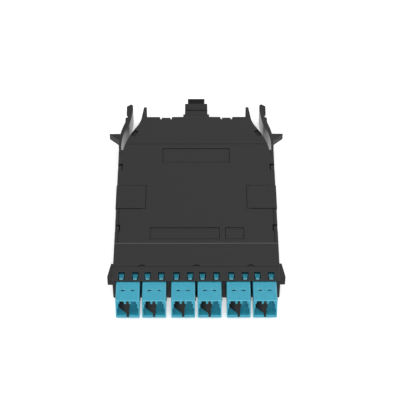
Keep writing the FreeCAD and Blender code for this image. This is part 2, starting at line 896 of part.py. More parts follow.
def port_divider(x):
    # Dark insert between the two ports: a raked post at the front, then a thin web to the partition.
    front = front_y - adapter_lip_reach
    rear = front + divider_post_length
    foot_rear = rear - divider_foot_step
    low = port_floor - divider_sink + divider_clearance
    high = keyway_top - divider_clearance
    side_view = [(front, low), (foot_rear, low), (foot_rear, port_floor), (rear, port_floor),
                 (rear + rake_run, rake_top), (rear + rake_run, high),
                 (front + rake_run, high), (front + rake_run, rake_top), (front, port_floor)]
    post_side = side_prism(side_view, x - divider_bulge_width / 2, x + divider_bulge_width / 2)
    steps = [
        (divider_foot_width / 2, low),
        (divider_foot_width / 2, port_floor),
        (divider_width / 2, port_centre_z),
        (divider_width / 2, port_top),
        (divider_bulge_width / 2, divider_bulge_bottom),
        (divider_bulge_width / 2, divider_bulge_top),
        (divider_width / 2, upper_top),
        (divider_width / 2, high),
    ]
    front_view = [(x + across, z) for across, z in steps]
    front_view += [(x - across, z) for across, z in reversed(steps)]
    divider = post_side.common(front_prism(front_view, front, rear + rake_run))
    web_low = port_floor + divider_clearance
    web_front = front + divider_post_length / 2
    web_side = [(web_front, web_low), (front_y + partition_depth, web_low),
                (front_y + partition_depth, high), (web_front + rake_run, high),
                (web_front + rake_run, rake_top)]
    web = side_prism(web_side, x - divider_web / 2, x + divider_web / 2)
    return divider.fuse(web).removeSplitter()


def shutter(x, side, closing):
    # A leaf that hangs on a raked pin behind the post; closing is its angle from folded back.
    # It is drawn upright, with a lower edge that is level once the folded leaf leans back.
    pin_x, pin_y = shutter_axis(x, side)
    low = port_floor + shutter_lift
    shoulder = port_floor + shutter_height
    crown = shoulder + shutter_crown_height
    crown_length = upper_half_width - shutter_side_gap - abs(pin_x - x)
    side_view = [(pin_y, low), (pin_y + shutter_length, low + rake_slope * shutter_length),
                 (pin_y + shutter_length, shoulder), (pin_y + crown_length, shoulder),
                 (pin_y + crown_length, crown), (pin_y, crown)]
    leaf = side_prism(side_view, pin_x - shutter_thickness / 2, pin_x + shutter_thickness / 2)
    pin = small_post(shutter_pin_radius, pin_x, pin_y,
                     port_floor - shutter_pin_sink + hinge_clearance, crown)
    upright = turned(leaf.fuse(pin).removeSplitter(), pin_x, pin_y, -side * closing)
    return raked(upright, pin_x, pin_y)


def alignment_sleeve(x):
    reach = sleeve_length / 2
    sleeve = small_rod(sleeve_radius, x, port_centre_z, sleeve_middle_y - reach,
                       sleeve_middle_y + reach)
    bore = small_rod(sleeve_bore_radius, x, port_centre_z, sleeve_middle_y - sleeve_length,
                     sleeve_middle_y + sleeve_length, True)
    slot = centred_block(x, sleeve_slot, sleeve_middle_y - sleeve_length, sleeve_middle_y + sleeve_length,
                         port_centre_z, port_centre_z + 2 * sleeve_radius)
    return sleeve.cut([bore, slot])


def plug_front_y():
    return sleeve_middle_y + sleeve_length / 2 + sleeve_tube_lip + plug_gap


def inner_ferrule(x):
    return small_rod(ferrule_radius, x, port_centre_z, sleeve_middle_y, plug_front_y())


def inner_plug(x):
    front = plug_front_y()
    back = front + plug_length
    body = centred_block(x, plug_section, front, back, port_centre_z - plug_section / 2,
                         port_centre_z + plug_section / 2)
    long_edges = [edge for edge in body.Edges if edge.BoundBox.YLength > plug_length / 2]
    body = body.makeChamfer(plug_bevel, long_edges)
    middle = (x, port_centre_z)
    base = ring_corners(boot_base_radius, middle, small_round_sides)
    tip = ring_corners(boot_tip_radius, middle, small_round_sides)
    return body.fuse(tapered(base, tip, back, back + boot_length))


def fibre_leg(port_x, exit_x):
    # Path from a plug's boot to the fan-out block: straight, arc, straight, arc, straight.
    start_y = plug_front_y() + plug_length + boot_length
    end_y = fan_out_front_y()
    across = exit_x - port_x
    side = 1 if across > 0 else -1
    distance = abs(across)
    rise = end_y - start_y
    leg_bend_radius = leg_bend_share * rise
    reach = 2 * leg_bend_radius
    slant = math.sqrt((distance - reach) ** 2 + rise ** 2 - reach ** 2)
    turn = math.atan2(slant, -reach) - math.atan2(rise, distance - reach)

    def at(sideways, forward):
        return point(port_x + side * sideways, start_y + forward, port_centre_z)

    def on_first(angle):
        return at(leg_bend_radius * (1 - math.cos(angle)), leg_bend_radius * math.sin(angle))

    def on_last(angle):
        return at(distance - leg_bend_radius * (1 - math.cos(angle)),
                  rise - leg_bend_radius * math.sin(angle))

    edges = [
        Part.Arc(on_first(0), on_first(turn / 2), on_first(turn)).toShape(),
        Part.makeLine(on_first(turn), on_last(turn)),
        Part.Arc(on_last(turn), on_last(turn / 2), on_last(0)).toShape(),
    ]
    loop = [point(x, start_y, z) for x, z in ring_corners(leg_radius, (port_x, port_centre_z), leg_sides)]
    ring = Part.makePolygon(loop + loop[:1])
    return Part.Wire(edges).makePipeShell([ring], True, False)


def fibre_legs():
    legs = []
    for index, port_x in enumerate(port_places):
        exit_x = (index - (len(port_places) - 1) / 2) * leg_pitch
        legs.append(fibre_leg(port_x, exit_x))
    return legs


def fan_out_block():
    width = (len(port_places) + 1) * leg_pitch
    front = fan_out_front_y()
    body = centred_block(0, width, front, front + fan_out_length, floor_thickness,
                         floor_thickness + fan_out_height)
    upright = [edge for edge in body.Edges if edge.BoundBox.ZLength > fan_out_height / 2]
    return body.makeChamfer(plug_bevel, upright)


def rear_plug_back_y():
    return rear_y - rear_adapter_inside + rear_plug_sink - rear_plug_length


def fan_out_front_y():
    return rear_plug_back_y() - rear_boot_length - trunk_length - fan_out_length


def fibre_trunk():
    trunk_back_y = rear_plug_back_y() - rear_boot_length
    return small_rod(trunk_radius, 0, rear_adapter_centre_z,
                     trunk_back_y - trunk_length, trunk_back_y)


def rear_adapter():
    low = rear_adapter_bottom
    high = low + rear_adapter_height
    body = centred_block(0, rear_adapter_width, rear_y - rear_adapter_inside,
                         rear_y + rear_adapter_reach, low, high)
    flange_low = rear_adapter_centre_z - rear_flange_height / 2
    flange = centred_block(0, rear_flange_width, rear_y, rear_y + rear_flange_thickness,
                           flange_low, flange_low + rear_flange_height)
    bore = centred_block(0, rear_adapter_width - 2 * rear_adapter_wall,
                         rear_y - rear_adapter_inside - over_cut,
                         rear_y + rear_adapter_reach + over_cut,
                         low + rear_adapter_wall, high - rear_adapter_wall)
    return body.fuse(flange).cut(bore).removeSplitter()


def rear_plug_section(gap):
    width = rear_adapter_width - 2 * rear_adapter_wall - 2 * gap
    height = rear_adapter_height - 2 * rear_adapter_wall - 2 * gap
    return width, height


def rectangle(width, height):
    # Front-view corners of a rectangle in the middle of the rear adapter.
    low = rear_adapter_centre_z - height / 2
    high = rear_adapter_centre_z + height / 2
    return [(-width / 2, low), (width / 2, low), (width / 2, high), (-width / 2, high)]


def rear_plug():
    width, height = rear_plug_section(rear_plug_gap)
    back = rear_plug_back_y()
    body = front_prism(rectangle(width, height), back, back + rear_plug_length)
    long_edges = [edge for edge in body.Edges if edge.BoundBox.YLength > rear_plug_length / 2]
    body = body.makeChamfer(plug_bevel, long_edges)
    tip_width = 2 * (trunk_radius + plug_bevel)
    tip = rectangle(tip_width, tip_width)
    base = rectangle(width - 2 * plug_bevel, height - 2 * plug_bevel)
    return body.fuse(tapered(tip, base, back - rear_boot_length, back))


def rear_ferrule():
    front = rear_plug_back_y() + rear_plug_length
    return front_prism(rectangle(rear_ferrule_width, rear_ferrule_height), front,
                       front + rear_ferrule_length)


def guide_pins():
    front = rear_plug_back_y() + rear_plug_length + rear_ferrule_length
    return [small_rod(guide_pin_radius, side * guide_pin_spacing / 2, rear_adapter_centre_z,
                      front, front + guide_pin_length) for side in (-1, 1)]


def rear_dust_cap():
    # Stopper in the port, a head that covers its rim, and a grip that flares towards its end.
    width, height = rear_plug_section(cap_gap)
    mouth_y = rear_y + rear_adapter_reach
    head_y = mouth_y + cap_head_length
    stopper = front_prism(rectangle(width, height), mouth_y - cap_plug_length, mouth_y)
    head = front_prism(rectangle(rear_adapter_width, rear_adapter_height), mouth_y, head_y)
    half = cap_grip_width / 2
    neck = half - cap_grip_taper
    end_y = head_y + cap_grip_reach
    plate_y = end_y - cap_end_plate
    grip = upright_prism([(-neck, head_y), (neck, head_y), (half, plate_y), (half, end_y),
                          (-half, end_y), (-half, plate_y)],
                         rear_adapter_centre_z - cap_grip_height / 2,
                         rear_adapter_centre_z + cap_grip_height / 2)
    return stopper.fuse([head, grip]).removeSplitter()


def save(name, shapes):
    solids = []
    for shape in shapes:
        solids += shape.Solids
    body = solids[0] if len(solids) == 1 else Part.makeCompound(solids)
    body.exportStep(os.path.join("parts", name + ".step"))


def main():
    os.makedirs("parts", exist_ok=True)
    save("base_tray", [base_tray()])
    save("top_cover", [top_cover()])
    save("release_arm_right", [release_arm()])
    save("release_arm_left", [mirrored(release_arm())])
    for number, x in enumerate(adapter_places, start=1):
        save("adapter_shell_%d" % number, [adapter_shell(x)])
        save("port_divider_%d" % number, [port_divider(x)])
        save("shutter_left_%d" % number, [shutter(x, -1, shutter_rest_angle)])
        save("shutter_right_%d" % number, [shutter(x, 1, 0.0)])
    save("alignment_sleeves", [alignment_sleeve(x) for x in port_places])
    save("inner_lc_plugs", [inner_plug(x) for x in port_places])
    save("inner_ferrules", [inner_ferrule(x) for x in port_places])
    save("fibre_legs", fibre_legs())
    save("fan_out_block", [fan_out_block()])
    save("fibre_trunk", [fibre_trunk()])
    save("mpo_plug", [rear_plug()])
    save("mpo_ferrule", [rear_ferrule()])
    save("mpo_guide_pins", guide_pins())
    save("mpo_adapter", [rear_adapter()])
    save("mpo_dust_cap", [rear_dust_cap()])


main()
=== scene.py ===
import json
import math

import bmesh
import bpy
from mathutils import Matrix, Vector

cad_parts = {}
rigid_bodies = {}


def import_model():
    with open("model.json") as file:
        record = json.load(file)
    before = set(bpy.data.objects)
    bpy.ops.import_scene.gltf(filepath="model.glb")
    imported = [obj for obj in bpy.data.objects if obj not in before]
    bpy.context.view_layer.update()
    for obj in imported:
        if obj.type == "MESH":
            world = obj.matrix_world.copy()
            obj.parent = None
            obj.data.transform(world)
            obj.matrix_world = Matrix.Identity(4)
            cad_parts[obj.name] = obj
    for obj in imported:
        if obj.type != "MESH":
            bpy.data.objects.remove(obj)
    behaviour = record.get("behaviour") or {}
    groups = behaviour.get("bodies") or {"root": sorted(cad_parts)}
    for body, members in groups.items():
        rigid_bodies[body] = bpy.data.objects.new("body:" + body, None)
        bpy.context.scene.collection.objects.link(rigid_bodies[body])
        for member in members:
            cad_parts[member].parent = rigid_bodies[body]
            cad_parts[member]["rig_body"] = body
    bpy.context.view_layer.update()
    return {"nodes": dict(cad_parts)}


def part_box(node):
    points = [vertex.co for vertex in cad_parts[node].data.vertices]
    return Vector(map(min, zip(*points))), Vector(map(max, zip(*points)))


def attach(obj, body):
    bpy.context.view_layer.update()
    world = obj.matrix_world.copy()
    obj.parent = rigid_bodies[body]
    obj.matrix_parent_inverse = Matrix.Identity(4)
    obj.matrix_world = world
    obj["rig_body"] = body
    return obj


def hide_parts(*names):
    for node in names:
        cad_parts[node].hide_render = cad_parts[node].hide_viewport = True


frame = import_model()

bl_info = {
    "name": "Fibre cassette",
    "version": (1, 0, 0),
    "blender": (4, 5, 0),
    "location": "3D View > Sidebar > Cassette",
    "description": "Dresses the packed fibre cassette and sets it in a plain studio",
    "category": "Object",
}

MM = 0.001
ADAPTER_COUNT = 6
SIDES = ("left", "right")
WHITE = (1.0, 1.0, 1.0, 1.0)
NODES_IN_A_ROW = 7
NODE_STEP = (220, -260)

# Clean-up and rounding of a copied shape

WELD_REACH = 0.002 * MM
SLIVER_SIZE = 0.001 * MM
CUT_REACH = 0.01 * MM
CREASE_ANGLE = math.radians(32)
ROOM_SHARE = 0.4
EDGE_STEPS = 2
STRONG_FACE_WEIGHT = 90

# Faces that take painted shade, painted highlights, painted light or another finish, by the share of a normal
# along an axis and by place

FACING = 0.9
HALFWAY = 0.5
LEANING = 0.3
ALMOST_LEVEL = 0.995
LEVEL_ROOM = 0.12 * MM
FRONT_ZONE_LENGTH = 16.3 * MM
GROOVE_DEEPEST = 0.75 * MM
GROOVE_LEAST = 0.47 * MM
WINDOW_DEPTH = 1.5 * MM
LATCH_ROOT_BACK = 3.6 * MM
CHANNEL_WALL = 0.3 * MM
CHANNEL_SPAN = 12.5 * MM
CHANNEL_ROOF = 0.8 * MM
FADE_START = 3.0 * MM
FADE_END = 11.0 * MM
CAP_GRIP_LENGTH = 5.6 * MM
SEAM_WIDTH = 0.6 * MM

# Plastics: grain and depth are in millimetres, tint multiplies the colour

FLOW_SIZE = 17 * MM
FLOW_SHARE = 0.75
FLOW_DULLING = 0.05
PATCH_SIZE = 5 * MM
PATCH_STOPS = [(0.42, 0.0), (0.68, 1.0)]
PATCH_DULLING = 0.04
HAZE_REACH = 2.0 * MM
HAZE_SPREAD = (0.6, 1.0, 1.0)
PLAIN_FINISH = {"tint": 1.0, "mottle": 0.06, "gloss": 0.5, "haze": 0.0}
ADAPTER_FINISH = {"roughness": 0.36, "grain": 0.5, "depth": 0.004, "mottle": 0.04, "gloss": 0.35, "haze": 0.4}
FINISHES = {
    "housing_black": {"roughness": 0.42, "grain": 0.35, "depth": 0.012, "gloss": 0.27},
    # Painted highlight: the paler tint on the rounded edges stands in for the light they catch
    "housing_black_edge": {"roughness": 0.36, "grain": 0.35, "depth": 0.004, "gloss": 0.35, "tint": 1.5},
    # Painted highlight: the lighter tint on the cover's front-facing step slope stands in for light falling
    # on it
    "housing_black_worn": {"roughness": 0.36, "grain": 0.35, "depth": 0.004, "gloss": 0.35, "tint": 4.5},
    # Painted shade: the darker tint on the groove floors stands in for the shade in the grooves
    "housing_black_groove": {"roughness": 0.6, "grain": 0.35, "depth": 0.004, "gloss": 0.18, "tint": 0.85},
    "arm_black": {"roughness": 0.20, "grain": 0.35, "depth": 0.003, "gloss": 0.28},
    "adapter_aqua": ADAPTER_FINISH,
    # Painted light: this finish fades to a paler aqua deep in the ports, standing in for light that reaches
    # there
    "adapter_channel": ADAPTER_FINISH,
    # Painted highlight: the paler aqua on rounded edges and the top rim stands in for the light they catch
    "adapter_aqua_edge": {"roughness": 0.30, "grain": 0.5, "depth": 0.002, "mottle": 0.03, "haze": 0.4},
    # Painted shade: the near-black tint in the latch windows stands in for the shade under the frame
    "adapter_recess": {"roughness": 0.6, "grain": 0.5, "depth": 0.004, "gloss": 0.2, "tint": 0.06},
    # Painted shade: the darker tint on the latch slopes stands in for the shade inside the window
    "adapter_latch": {"roughness": 0.4, "grain": 0.5, "depth": 0.004, "gloss": 0.3, "tint": 0.7},
    "divider_grey": {"roughness": 0.5, "grain": 0.4, "depth": 0.006, "gloss": 0.25},
    "leaf_dark": {"roughness": 0.45, "grain": 0.4, "depth": 0.004},
    "rear_adapter_black": {"roughness": 0.40, "grain": 0.4, "depth": 0.006, "gloss": 0.25},
    "cap_black": {"roughness": 0.5, "grain": 0.5, "depth": 0.006, "gloss": 0.25},
    "cap_grip_black": {"roughness": 0.6, "grain": 0.5, "depth": 0.006, "gloss": 0.12, "tint": 0.5},
    "ceramic_white": {"roughness": 0.12, "grain": 1.2, "depth": 0.0005, "mottle": 0.02, "gloss": 0.8},
    "plug_beige": {"roughness": 0.4, "grain": 0.5, "depth": 0.005},
    "jacket_aqua": {"roughness": 0.45, "grain": 0.3, "depth": 0.006},
    "block_black": {"roughness": 0.45, "grain": 0.5, "depth": 0.008},
}

# Ground steel

STEEL_ROUGHNESS = 0.25
STEEL_LINE_DULLING = 0.1
STEEL_LINE_SCALE = (9000.0, 400.0, 9000.0)
STEEL_LINE_STRENGTH = 0.4
STEEL_LINE_DEPTH = 0.004 * MM
STEEL_TINTS = (0.92, 1.05)

# Studio

FLOOR_REACH = 4.0
FLOOR_LIFT = 0.50
SENSOR_WIDTH = 36.0
CLIP_START = 0.01
LAMPS = {
    "key": {"size": 0.8, "place": (-0.6, -0.5, 0.9), "mirrored": True},
    "front": {"size": 0.5, "place": (0.1, -1.0, 0.55), "mirrored": False},
    "top": {"size": 1.0, "place": (0.2, 0.3, 1.1), "mirrored": True},
}


# Materials


class Reading:
    """A socket's value inside one material. Arithmetic on it adds Math nodes."""

    def __init__(self, recipe, socket):
        self.recipe = recipe
        self.socket = socket

    def _maths(self, operation, first, second):
        return self.recipe.node("ShaderNodeMath", {"operation": operation}, {0: first, 1: second})

    def __add__(self, other):
        return self._maths("ADD", self, other)

    def __mul__(self, other):
        return self._maths("MULTIPLY", self, other)

    __radd__ = __add__
    __rmul__ = __mul__

    def larger(self, other):
        """The larger of the two values."""
        return self._maths("MAXIMUM", self, other)


class Recipe:
    """One material or world while its nodes are laid out."""

    def __init__(self, owner):
        owner.use_nodes = True
        self.tree = owner.node_tree
        self.tree.nodes.clear()

    def node(self, kind, settings=None, inputs=None, output=0):
        """Add a node: its settings first, then its sockets' values or links. Returns one output."""
        made = self.tree.nodes.new(kind)
        row, column = divmod(len(self.tree.nodes), NODES_IN_A_ROW)
        made.location = (NODE_STEP[0] * column, NODE_STEP[1] * row)
        for name, value in (settings or {}).items():
            if name == "stops":
                for stop, (position, grey) in zip(made.color_ramp.elements, value):
                    stop.position = position
                    stop.color = (grey, grey, grey, 1.0)
            else:
                setattr(made, name, value)
        for name, value in (inputs or {}).items():
            socket = made.inputs[name]
            if not socket.enabled:
                socket = next(s for s in made.inputs if s.enabled and s.name == name)
            if isinstance(value, Reading):
                self.tree.links.new(value.socket, socket)
            else:
                socket.default_value = value
        if not len(made.outputs):
            return None
        socket = made.outputs[output]
        if not socket.enabled:
            socket = next(s for s in made.outputs if s.enabled)
        return Reading(self, socket)

    def noise(self, place, size, detail=2.0, roughness=0.5):
        """Grey noise whose spots are about size across."""
        return self.node("ShaderNodeTexNoise", {},
                         {"Vector": place, "Scale": 1 / size, "Detail": detail, "Roughness": roughness})

    def blend(self, factor, first, second):
        """Mix of two colours."""
        return self.node("ShaderNodeMix", {"data_type": "RGBA"},
                         {"Factor": factor, "A": first, "B": second})


def shade(colour, factor):
    """The colour made darker or lighter."""
    return tuple(min(1.0, channel * factor) for channel in colour[:3]) + (1.0,)


def moulded_plastic(name, colour, fade=None):
    """Moulded plastic: fine spark-eroded grain, slow flow marks in its tone and faint dull patches.

    The name picks the finish, whose haze is the share of the light that spreads inside the plastic before
    it leaves. fade names another colour and the two depths between which the tone changes into it.
    """
    finish = {**PLAIN_FINISH, **FINISHES[name]}
    colour = shade(colour, finish["tint"])
    material = bpy.data.materials.new(name)
    recipe = Recipe(material)
    place = recipe.node("ShaderNodeTexCoord", output="Object")
    fine = recipe.noise(place, finish["grain"] * MM, detail=3.0, roughness=0.62)
    flow = recipe.noise(place, FLOW_SIZE, detail=2.5)
    patches = recipe.node("ShaderNodeValToRGB", {"stops": PATCH_STOPS},
                          {"Fac": recipe.noise(place, PATCH_SIZE, detail=4.0, roughness=0.7)})
    tone = recipe.blend(FLOW_SHARE * flow + (1 - FLOW_SHARE) * fine,
                        shade(colour, 1 - finish["mottle"]), shade(colour, 1 + finish["mottle"]))
    if fade:
        far_colour, near_y, far_y = fade
        depth_in = recipe.node("ShaderNodeSeparateXYZ", {}, {"Vector": place}, output=1)
        share = recipe.node("ShaderNodeMapRange", {},
                            {"Value": depth_in, "From Min": near_y, "From Max": far_y})
        tone = recipe.blend(share, tone, far_colour)
    bump = recipe.node("ShaderNodeBump", {},
                       {"Height": fine, "Strength": 1.0, "Distance": finish["depth"] * MM})
    surface = recipe.node("ShaderNodeBsdfPrincipled", {}, {
        "Base Color": tone,
        "Roughness": finish["roughness"] + PATCH_DULLING * patches + FLOW_DULLING * flow,
        "Specular IOR Level": finish["gloss"],
        "Subsurface Weight": finish["haze"],
        "Subsurface Radius": HAZE_SPREAD,
        "Subsurface Scale": HAZE_REACH,
        "Normal": bump,
    })
    recipe.node("ShaderNodeOutputMaterial", {}, {"Surface": surface})
    return material


def ground_steel(name, colour):
    """Ground steel with fine turned lines along its length."""
    material = bpy.data.materials.new(name)
    recipe = Recipe(material)
    place = recipe.node("ShaderNodeTexCoord", output="Object")
    stretched = recipe.node("ShaderNodeMapping", {}, {"Vector": place, "Scale": STEEL_LINE_SCALE})
    lines = recipe.noise(stretched, 1.0)
    bump = recipe.node("ShaderNodeBump", {},
                       {"Height": lines, "Strength": STEEL_LINE_STRENGTH, "Distance": STEEL_LINE_DEPTH})
    surface = recipe.node("ShaderNodeBsdfPrincipled", {}, {
        "Base Color": recipe.blend(lines, *(shade(colour, tint) for tint in STEEL_TINTS)),
        "Metallic": 1.0,
        "Roughness": STEEL_ROUGHNESS + STEEL_LINE_DULLING * lines,
        "Normal": bump,
    })
    recipe.node("ShaderNodeOutputMaterial", {}, {"Surface": surface})
    return material


# Settings


def colour_setting(name, description, default):
    """A colour that a user can change."""
    return bpy.props.FloatVectorProperty(name=name, description=description, default=default,
                                         subtype="COLOR", size=4, min=0.0, max=1.0)


def length_setting(name, description, default):
    """A length that a user can change."""
    return bpy.props.FloatProperty(name=name, description=description, default=default,
                                   min=0.0, precision=5, unit="LENGTH", subtype="DISTANCE")


def place_setting(name, description, default):
    """A point that a user can change."""
    return bpy.props.FloatVectorProperty(name=name, description=description, default=default,
                                         size=3, subtype="TRANSLATION", unit="LENGTH")


def power_setting(name, description, default):
    """A lamp's power that a user can change."""
    return bpy.props.FloatProperty(name=name, description=description, default=default,
                                   min=0.0, subtype="POWER", unit="POWER")


class CassetteColours(bpy.types.PropertyGroup):
    housing: colour_setting("Housing", "Black plastic of the tray, cover and arms",
                            (0.0100, 0.0100, 0.0103, 1))
    adapter: colour_setting("Adapter", "Aqua plastic of the duplex adapters", (0.032, 0.335, 0.46, 1))
    # Painted highlight: this paler aqua on the rounded edges and the top rim stands in for the light they
    # catch
    adapter_edge_highlight: colour_setting("Adapter edge", "Paler aqua of the adapters' rounded edges",
                                 (0.13, 0.47, 0.60, 1))
    # Painted light: this paler aqua deep inside the ports stands in for light that reaches there; the plastic
    # there is the adapters' own aqua
    channel: colour_setting("Channel", "Paler aqua of the plastic deep inside the ports",
                            (0.11, 0.66, 0.88, 1))
    divider: colour_setting("Divider", "Grey-brown plastic of the port dividers", (0.013, 0.013, 0.012, 1))
    leaf: colour_setting("Leaf", "Dark plastic of the shutter leaves", (0.012, 0.012, 0.012, 1))
    cap: colour_setting("Dust cap", "Black soft plastic of the rear dust cap", (0.010, 0.010, 0.010, 1))
    plug: colour_setting("Plug", "Beige plastic of the inner plugs", (0.62, 0.60, 0.54, 1))
    ceramic: colour_setting("Ceramic", "White ceramic of sleeves and ferrules", (0.85, 0.85, 0.82, 1))
    steel: colour_setting("Steel", "Ground steel of the guide pins", (0.60, 0.60, 0.62, 1))
    jacket: colour_setting("Jacket", "Aqua jacket of the fibres", (0.12, 0.50, 0.60, 1))
    floor: colour_setting("Floor", "Near-white studio floor", (0.80, 0.80, 0.80, 1))


class CassetteEdges(bpy.types.PropertyGroup):
    housing: length_setting("Housing", "Rounding of the housing's edges", 0.22 * MM)
    cover: length_setting("Cover", "Rounding of the cover's edges", 0.16 * MM)
    arm: length_setting("Arm", "Rounding of the release arms' edges", 0.22 * MM)
    adapter: length_setting("Adapter", "Rounding of the adapters' edges", 0.14 * MM)
    small: length_setting("Small pieces", "Rounding of dividers and leaves", 0.07 * MM)
    cap: length_setting("Dust cap", "Rounding of the dust cap's edges", 0.30 * MM)


class CassetteStage(bpy.types.PropertyGroup):
    aim: place_setting("Aim", "Point the camera and the lamps look at", (0.0021, -0.00605, 0.0142))
    eye: place_setting("Camera", "Where the camera stands", (0.0007, -0.5646, 0.6132))
    lens: bpy.props.FloatProperty(name="Lens", description="Focal length in millimetres on a 36 mm sensor",
                                  default=130.95, min=10.0)
    sky: bpy.props.FloatProperty(name="Sky", description="Level of the white surroundings as a light",
                                 default=0.62, min=0.0)
    key: power_setting("Key lamp", "Power of the large lamp at the front left", 2.0)
    front: power_setting("Front lamp", "Power of the low lamp in front", 5.0)
    top: power_setting("Top lamp", "Power of the large lamp overhead", 3.0)


# Pieces


def edge_room(edge):
    """Length of the shortest edge that meets this one."""
    return min(other.calc_length() for corner in edge.verts
               for other in corner.link_edges if other is not edge)


def weigh_edges(cage, rounding, hidden_y):
    """Let each outer edge be rounded, by less where its neighbours leave less room.

    Inner corners stay crisp, and so does every edge behind hidden_y, inside the housing.
    """
    weight = cage.edges.layers.float.new("bevel_weight_edge")
    for edge in cage.edges:
        if len(edge.link_faces) == 2 and edge.calc_face_angle() > CREASE_ANGLE:
            if edge.is_convex and min(corner.co.y for corner in edge.verts) < hidden_y:
                edge[weight] = min(1.0, ROOM_SHARE * edge_room(edge) / rounding)
            else:
                edge.smooth = False


def score(cage, line_y):
    """Cut the faces along a crosswise plane without changing the shape."""
    bmesh.ops.bisect_plane(cage, geom=cage.verts[:] + cage.edges[:] + cage.faces[:], dist=CUT_REACH,
                           plane_co=(0, line_y, 0), plane_no=(0, 1, 0))
    bmesh.ops.triangulate(cage, faces=cage.faces[:])


def refined(node, name, rounding, material, edge_highlight_material=None, line_y=None, hidden_y=math.inf):
    """Copy a node's shape with its edges rounded; the copy stands for the node.

    Faces are cut at line_y, so that their two parts can take different materials, such as painted shade on
    one side.
    """
    source = frame["nodes"][node]
    mesh = bpy.data.meshes.new(name)
    mesh.from_pydata([corner.co for corner in source.data.vertices], [],
                     [list(face.vertices) for face in source.data.polygons])
    cage = bmesh.new()
    cage.from_mesh(mesh)
    bmesh.ops.remove_doubles(cage, verts=cage.verts, dist=WELD_REACH)
    bmesh.ops.dissolve_degenerate(cage, edges=cage.edges, dist=SLIVER_SIZE)
    if line_y is not None:
        score(cage, line_y)
    weigh_edges(cage, rounding, hidden_y)
    for face in cage.faces:
        face.smooth = True
    cage.to_mesh(mesh)
    cage.free()
    piece = bpy.data.objects.new(name, mesh)
    bpy.context.scene.collection.objects.link(piece)
    mesh.materials.append(material)
    rounded = piece.modifiers.new("Edges", "BEVEL")
    rounded.width = rounding
    rounded.segments = EDGE_STEPS
    rounded.limit_method = "WEIGHT"
    rounded.use_clamp_overlap = False
    # The edge material paints a highlight on the rounded faces
    if edge_highlight_material:
        mesh.materials.append(edge_highlight_material)
        rounded.material = 1
    shaded = piece.modifiers.new("Shading", "WEIGHTED_NORMAL")
    shaded.keep_sharp = True
    shaded.weight = STRONG_FACE_WEIGHT
    body = source["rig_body"]
    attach(piece, body)
    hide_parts(node)
    return piece


def inlay(piece, material, chosen):
    """Give another material to the faces for which chosen(middle, normal) holds."""
    materials = piece.data.materials
    index = materials.find(material.name)
    if index < 0:
        materials.append(material)
        index = len(materials) - 1
    for face in piece.data.polygons:
        if chosen(face.center, face.normal):
            face.material_index = index


def open_seam(cap, mouth_y):
    """Draw the cap's collar back from the adapter's mouth, so that the seam shows."""
    for corner in cap.data.vertices:
        if abs(corner.co.y - mouth_y) < LEVEL_ROOM:
            corner.co.y += SEAM_WIDTH


def dress(nodes, material):
    """Give carried-over nodes a finished material."""
    for node in nodes:
        held = frame["nodes"][node]
        if held.material_slots:
            for slot in held.material_slots:
                slot.material = material
        else:
            held.data.materials.append(material)


class CASSETTE_OT_housing(bpy.types.Operator):
    """Dress the base tray and the top cover"""

    bl_idname = "cassette.housing"
    bl_label = "Housing"

    def execute(self, context):
        scene = context.scene
        black = scene.cassette_colours.housing
        plastic = moulded_plastic("housing_black", black)
        # edges paints a highlight on the rounded edges of the tray and the cover
        edges = moulded_plastic("housing_black_edge", black)
        step_highlight = moulded_plastic("housing_black_worn", black)
        shadow = moulded_plastic("housing_black_groove", black)
        tray = refined("base_tray", "tray_body", scene.cassette_edges.housing, plastic, edges)
        cover = refined("top_cover", "cover_plate", scene.cassette_edges.cover, plastic, edges)
        pad_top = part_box("top_cover")[1][2]
        front_zone_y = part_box("top_cover")[0][1] + FRONT_ZONE_LENGTH
        # Painted highlight on the cover's faces that lean to the front and up, the step slope
        inlay(cover, step_highlight, lambda middle, normal: normal.y < -LEANING and normal.z > LEANING)
        # Painted shade on the floors of the grooves around the cover's recesses
        inlay(cover, shadow, lambda middle, normal: normal.z > FACING and middle.y > front_zone_y
              and pad_top - GROOVE_DEEPEST < middle.z < pad_top - GROOVE_LEAST)
        return {"FINISHED"}


class CASSETTE_OT_arms(bpy.types.Operator):
    """Dress the two release arms"""

    bl_idname = "cassette.arms"
    bl_label = "Release arms"

    def execute(self, context):
        scene = context.scene
        plastic = moulded_plastic("arm_black", scene.cassette_colours.housing)
        for side in SIDES:
            arm = refined("release_arm_" + side, side + "_squeeze_arm", scene.cassette_edges.arm, plastic)
        return {"FINISHED"}


